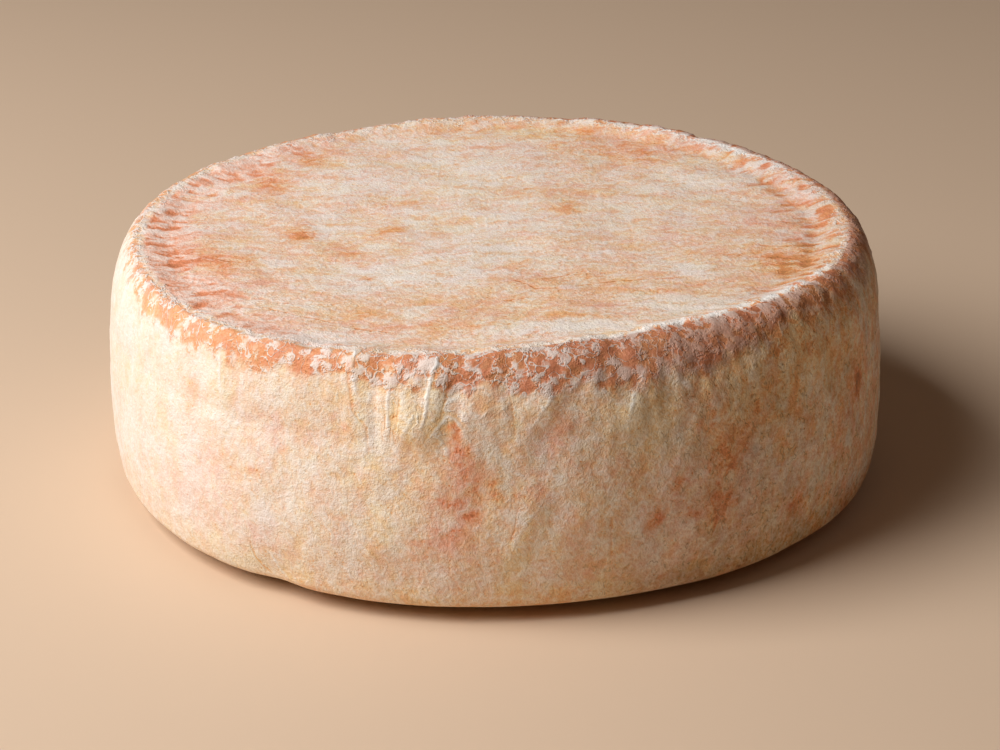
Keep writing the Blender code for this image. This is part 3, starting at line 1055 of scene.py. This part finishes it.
class Nodes:
    """Short ways to add shader nodes and link them."""

    def __init__(self, material):
        self.tree = material.node_tree
        self.places = self.add("ShaderNodeTexCoord").outputs["Object"]

    def add(self, kind, inputs=(), **settings):
        """A node with its settings made and its inputs linked or set."""
        node = self.tree.nodes.new(kind)
        for name, value in settings.items():
            setattr(node, name, value)
        for socket, value in dict(inputs).items():
            self.feed(node.inputs[socket], value)
        return node

    def feed(self, socket, value):
        """Links a node's output to the socket, or sets the socket to a value."""
        if isinstance(value, bpy.types.NodeSocket):
            self.tree.links.new(value, socket)
        else:
            socket.default_value = value

    def field(self, name):
        """A field of the rind, stored on its points."""
        return self.add("ShaderNodeAttribute", attribute_name=name).outputs["Fac"]

    def moved(self, offset, stretch=(1.0, 1.0, 1.0)):
        """The object's coordinates, moved and drawn out along its axes."""
        shift = (offset, 0.7 * offset, 1.3 * offset)
        inputs = {"Vector": self.places, "Location": shift, "Scale": tuple(1 / s for s in stretch)}
        return self.add("ShaderNodeMapping", inputs).outputs["Vector"]

    def noise(self, size, detail, roughness, offset, stretch=(1.0, 1.0, 1.0)):
        """Noise with features of a size in millimetres, with a mean of 0 and a spread of about 1."""
        inputs = {"Vector": self.moved(offset, stretch), "Scale": 1 / (size * MM)}
        inputs |= {"Detail": detail, "Roughness": roughness}
        share = self.add("ShaderNodeTexNoise", inputs).outputs["Fac"]
        layers = roughness ** np.arange(detail + 1)
        spread = NOISE_SPREAD * math.sqrt(np.sum(layers**2)) / np.sum(layers)
        return self.math("DIVIDE", self.math("SUBTRACT", share, 0.5), float(spread))

    def from_cells(self, places, size):
        """The distance from the middle of the nearest of many cells, as a share of their size."""
        inputs = {"Vector": places, "Scale": 1 / (size * MM)}
        return self.add("ShaderNodeTexVoronoi", inputs).outputs["Distance"]

    def math(self, operation, first, second=0.0, third=0.0):
        """One arithmetic step."""
        inputs = {0: first, 1: second, 2: third}
        return self.add("ShaderNodeMath", inputs, operation=operation).outputs[0]

    def product_plus(self, value, factor, added):
        """The value times the factor, and something added."""
        return self.math("MULTIPLY_ADD", value, factor, added)

    def sum(self, *values):
        """The sum of several values."""
        return functools.reduce(functools.partial(self.math, "ADD"), values)

    def product(self, *values):
        """The product of several values."""
        return functools.reduce(functools.partial(self.math, "MULTIPLY"), values)

    def span(self, value, low, high, to_low=0.0, to_high=1.0):
        """The value spread smoothly from one range to another."""
        inputs = {"Value": value, "From Min": low, "From Max": high}
        inputs |= {"To Min": to_low, "To Max": to_high}
        node = self.add("ShaderNodeMapRange", inputs, interpolation_type="SMOOTHSTEP")
        return node.outputs["Result"]

    def line(self, value, middle, half_width):
        """1 where the value is at the middle, 0 beyond the half width."""
        off = self.math("ABSOLUTE", self.math("SUBTRACT", value, middle))
        return self.span(off, 0.0, half_width, 1.0, 0.0)

    def scale(self, value, stops):
        """The colour at a value on a scale of colours."""
        node = self.add("ShaderNodeValToRGB", {"Fac": value})
        elements = node.color_ramp.elements
        while len(elements) < len(stops):
            elements.new(1.0)
        for element, (place, color) in zip(elements, stops):
            element.position = place
            element.color = (*color, 1.0)
        return node.outputs["Color"]

    def mix_value(self, share, first, second):
        """A mix of two numbers."""
        inputs = {"Factor": share, "A": first, "B": second}
        return self.add("ShaderNodeMix", inputs).outputs["Result"]

    def mix(self, share, first, second, blend="MIX"):
        """A mix of two colours."""
        node = self.add("ShaderNodeMix", data_type="RGBA", blend_type=blend)
        values = {"Factor_Float": share, "A_Color": first, "B_Color": second}
        for socket in node.inputs:
            if socket.identifier in values:
                self.feed(socket, values[socket.identifier])
        return next(s for s in node.outputs if s.identifier == "Result_Color")


class RindNodes(Nodes):
    """The rind's colour and bump, from its fields and finer noise."""

    def __init__(self, material):
        super().__init__(material)
        self.fine = self.noise(1.5, 2, 0.85, 0.03)
        self.tint = self.noise(2.2, 1, 0.8, 0.11)
        self.grain = self.noise(0.7, 1, 0.7, 0.05)
        self.band = self.field("band")
        self.marks = self.field("marks")
        self.rim = self.line(self.field("rim"), *RIM_STRIP)
        self.crumb = self.span(self.fine, -0.2, 1.0)
        self.curl = self.curls()
        self.bloom = self.bloom_share()
        self.crest, self.ditch = self.ridge_marks()
        self.crease = self.crease_marks()
        self.hair = self.hair_marks()

    def curls(self):
        """1 in the middle of the torn skin's curls, which are cells with ragged edges."""
        wander = self.add("ShaderNodeCombineXYZ", {0: self.fine, 1: self.tint, 2: self.fine}).outputs[0]
        inputs = {0: wander, 3: CURL_WANDER * MM}
        wander = self.add("ShaderNodeVectorMath", inputs, operation="SCALE").outputs[0]
        places = self.add("ShaderNodeVectorMath", {0: wander, 1: self.moved(0.09)}).outputs[0]
        return self.span(self.from_cells(places, CURL_SIZE), 0.1, 0.8, 1.0, 0.0)

    def bloom_share(self):
        """How much of the ground the bloom hides."""
        rough = self.product_plus(self.band, -0.02, 0.2)
        cover = self.product_plus(self.fine, rough, self.field("cover"))
        vein = self.line(self.noise(3.6, 1, 0.55, 0.23), 0.0, 0.26)
        torn = self.sum(vein, self.product_plus(self.curl, 0.9, -0.45))
        crumbs = self.math("SUBTRACT", self.crumb, 0.15)
        cover = self.sum(cover, self.product(torn, self.band), self.product(self.rim, crumbs))
        soft = self.field("soft")
        return self.span(cover, self.math("SUBTRACT", 0.5, soft), self.math("ADD", 0.5, soft))

    def ridge_marks(self):
        """White ridges, partly painted highlight, and a coloured groove on the right of each, partly
        painted shadow.
        """
        away = self.product_plus(self.fine, 0.07, self.field("ridge"))
        rise = self.field("ridge_rise")
        crest = self.product(self.line(away, *RIDGE_CREST), rise)
        return crest, self.product(self.line(away, *RIDGE_DITCH), rise)

    def crease_marks(self):
        """Dark creases, partly the rind's own colour and partly painted shade."""
        away = self.product_plus(self.fine, 0.1, self.field("crease"))
        return self.product(self.line(away, *CREASE), self.field("crease_depth"))

    def hair_marks(self):
        """Fine dark marks like hairs."""
        cracks = self.noise(2.0, 1, 0.6, 0.17, (1.0, 1.0, 1.8))
        return self.product(self.line(cracks, 0.0, 0.35), self.span(self.tint, -0.2, 1.0), self.marks)

    def specks(self):
        """Small orange specks."""
        away = self.from_cells(self.moved(0.07), SPECK_SIZE)
        return self.product(self.span(away, 0.10, 0.24, 1.0, 0.0), self.span(self.tint, 0.0, 1.0))

    def pigment(self):
        """How much pigment there is, from white to the deepest."""
        return self.sum(
            self.mix_value(self.bloom, self.field("under"), self.field("over")),
            self.product(self.grain, -0.03),
            # Ridges whiter, their grooves and the creases deeper: partly the rind's own colour, partly
            # painted highlight and shade.
            self.product(self.crest, -0.42),
            self.product(self.ditch, 0.08),
            self.product(self.crease, 0.4),
            self.product(self.specks(), 0.35),
        )

    def hue(self):
        """The pigment's hue, from 0 for pink to 1 for yellow."""
        hue = self.sum(
            self.product_plus(self.tint, 0.10, self.field("hue")),
            self.product(self.ditch, 0.4),
            self.product(self.bloom, self.product_plus(self.band, -0.2, -0.1)),
        )
        return self.math("MINIMUM", self.math("MAXIMUM", hue, 0.0), 1.0)

    def color(self):
        """The rind's colour, with the painted shade of the fine relief."""
        share = self.math("DIVIDE", self.pigment(), DEEPEST)
        color = self.mix(self.hue(), self.scale(share, PINK_SCALE), self.scale(share, YELLOW_SCALE))
        color = self.mix(self.product(self.hair, 0.6), color, MARK_BROWN)
        # Painted shade of the fine relief: darker in its hollows and lighter on its bumps, as far as
        # marks reaches.
        painted_relief_shade = self.product(self.sum(self.grain, self.fine), self.marks)
        tone = self.product_plus(painted_relief_shade, 0.03, self.field("tone"))
        shade = self.add("ShaderNodeCombineColor", {0: tone, 1: tone, 2: tone}).outputs[0]
        return self.mix(1.0, color, shade, "MULTIPLY")

    def normal(self):
        """The rind's normals, bent by the relief that is too fine for the mesh."""
        torn = self.sum(self.product(self.curl, CURL_BUMP), self.product(self.bloom, BLOOM_BUMP))
        height = self.sum(
            self.product(self.fine, FINE_BUMP),
            self.product(self.grain, GRAIN_BUMP),
            self.product(self.crest, RIDGE_BUMP),
            self.product(self.rim, self.crumb, CRUMB_BUMP),
            self.product(self.crease, CREASE_BUMP),
            self.product(self.hair, HAIR_BUMP),
            self.product(self.band, torn),
        )
        inputs = {"Height": height, "Strength": 1.0, "Distance": MM}
        return self.add("ShaderNodeBump", inputs).outputs["Normal"]


def new_material(name, roughness):
    """A new material and its shader."""
    material = bpy.data.materials.new(name)
    material.use_nodes = True
    shader = material.node_tree.nodes["Principled BSDF"]
    shader.inputs["Roughness"].default_value = roughness
    return material, shader


def rind_material():
    """The rind's material."""
    material, shader = new_material("rind", ROUGHNESS)
    nodes = RindNodes(material)
    nodes.feed(shader.inputs["Base Color"], nodes.color())
    nodes.feed(shader.inputs["Normal"], nodes.normal())
    return material


# -------- The piece, the floor, the lights and the camera --------


def in_scene(name, data):
    """A new object, linked to the scene."""
    item = bpy.data.objects.new(name, data)
    bpy.context.scene.collection.objects.link(item)
    return item


def held_in_box(places):
    """The points with what would stand proud of the solid's box eased back inside it.

    The base stays as it is, because the box's lower limit is 0 and nothing lies under it.
    """
    for axis in range(3):
        for side, limit in ((-1, CAD_BOX[0][axis]), (1, CAD_BOX[1][axis])):
            if limit == 0:
                continue
            start = abs(limit) - EASED
            past = np.maximum(places[:, axis] * side - start, 0)
            places[:, axis] -= side * (past - EASED * np.tanh(past / EASED))
    return places


def make_rind():
    """The rind as one closed mesh with its fields and its material."""
    rind = Rind()
    looks = Looks(rind)
    above_base = np.minimum(rind.points[:, 2] / BOTTOM_RISE, 1)
    relief = above_base * solid_relief(rind) + looks.fine_relief()
    places = out_of_true(rim_drawn_in(rind.points + rind.ways * relief[:, None])) * MM
    places = held_in_box(places)
    mesh = bpy.data.meshes.new("rind")
    mesh.from_pydata(places.tolist(), [], rind.faces)
    for name, values in looks.fields().items():
        attribute = mesh.attributes.new(name, "FLOAT", "POINT")
        attribute.data.foreach_set("value", values.astype(np.float32))
    mesh.shade_smooth()
    mesh.materials.append(rind_material())
    return in_scene("rind", mesh)


# The floor, in metres.
FLOOR_COLOR = (0.70, 0.52, 0.37)
FLOOR_ROUGHNESS = 0.7
FLOOR_REACH = 8.0
FLOOR_GAP = 0.0002

# The two lights: azimuth, elevation, distance, width and power, in degrees, metres and watts.
KEY_LIGHT = (-160.0, 46.0, 1.2, 0.8, 17.6)
FILL_LIGHT = (-45.0, 55.0, 1.5, 1.0, 0.5)

AMBIENT_COLOR = (1.0, 0.64, 0.40)
AMBIENT_STRENGTH = 0.063


def make_floor():
    """A plain pale floor just under the wheel."""
    sides = ((-1, -1), (1, -1), (1, 1), (-1, 1))
    corners = [(x * FLOOR_REACH, y * FLOOR_REACH, -FLOOR_GAP) for x, y in sides]
    mesh = bpy.data.meshes.new("floor")
    mesh.from_pydata(corners, [], [(0, 1, 2, 3)])
    material, shader = new_material("floor", FLOOR_ROUGHNESS)
    shader.inputs["Base Color"].default_value = (*FLOOR_COLOR, 1.0)
    mesh.materials.append(material)
    return in_scene("floor", mesh)


def make_lamp(name, azimuth, elevation, distance, width, power):
    """A square soft light that shines at the origin."""
    lamp = bpy.data.lights.new(name, "AREA")
    lamp.energy = power
    lamp.size = width
    light = in_scene(name, lamp)
    turn, rise = math.radians(azimuth), math.radians(elevation)
    way = Vector((math.cos(turn) * math.cos(rise), math.sin(turn) * math.cos(rise), math.sin(rise)))
    light.location = way * distance
    light.rotation_euler = way.to_track_quat("Z", "Y").to_euler()


def make_lights():
    """A large soft light from the left, a faint one from the right, and warm light from all round."""
    make_lamp("key", *KEY_LIGHT)
    make_lamp("fill", *FILL_LIGHT)
    world = bpy.data.worlds.new("world")
    world.use_nodes = True
    background = world.node_tree.nodes["Background"]
    background.inputs["Color"].default_value = (*AMBIENT_COLOR, 1.0)
    background.inputs["Strength"].default_value = AMBIENT_STRENGTH
    bpy.context.scene.world = world


def make_camera():
    """The camera at the photograph's angle."""
    lens = bpy.data.cameras.new("camera")
    lens.lens = CAMERA_LENS
    lens.sensor_width = CAMERA_SENSOR
    camera = in_scene("camera", lens)
    camera.location = CAMERA_PLACE
    camera.rotation_euler = (math.radians(90 - CAMERA_DIP), 0.0, 0.0)
    bpy.context.scene.camera = camera


piece = make_rind()
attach(piece, "root")
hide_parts("cheese_wheel")
make_floor()
make_lights()
make_camera()
bpy.context.scene.view_settings.view_transform = "Standard"
